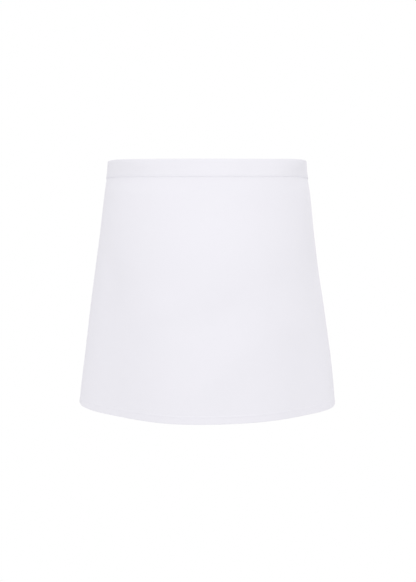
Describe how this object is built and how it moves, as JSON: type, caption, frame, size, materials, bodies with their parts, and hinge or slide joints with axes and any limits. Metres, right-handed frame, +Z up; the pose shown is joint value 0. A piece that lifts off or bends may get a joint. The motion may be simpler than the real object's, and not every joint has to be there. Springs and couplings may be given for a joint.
{
  "type": "waist apron",
  "caption": "Short white cloth waist apron, shown worn: a hemmed panel curving round the front, a folded waistband, and ties in a bow behind.",
  "frame": {"origin": "middle of the waist ring at half the waistband's height, where a wearer's waist holds the apron", "axes": "+Z up through the waist ring, -Y is the front of the apron, +Y is the back with the bow, +X is the right side seen from the front"},
  "size_m": [0.3995, 0.2755, 0.3806],
  "materials": {
    "panel_cloth": "matt white twill",
    "band_cloth": "matt white twill, folded and topstitched",
    "tie_cloth": "matt white twill, folded and topstitched"
  },
  "bodies": {
    "root": {"panel": "panel_cloth", "waistband": "band_cloth", "tie_left": "tie_cloth", "tie_right": "tie_cloth", "bow_knot": "tie_cloth", "bow_loop_left": "tie_cloth", "bow_loop_right": "tie_cloth", "tie_end_left": "tie_cloth", "tie_end_right": "tie_cloth"}
  },
  "joints": []
}
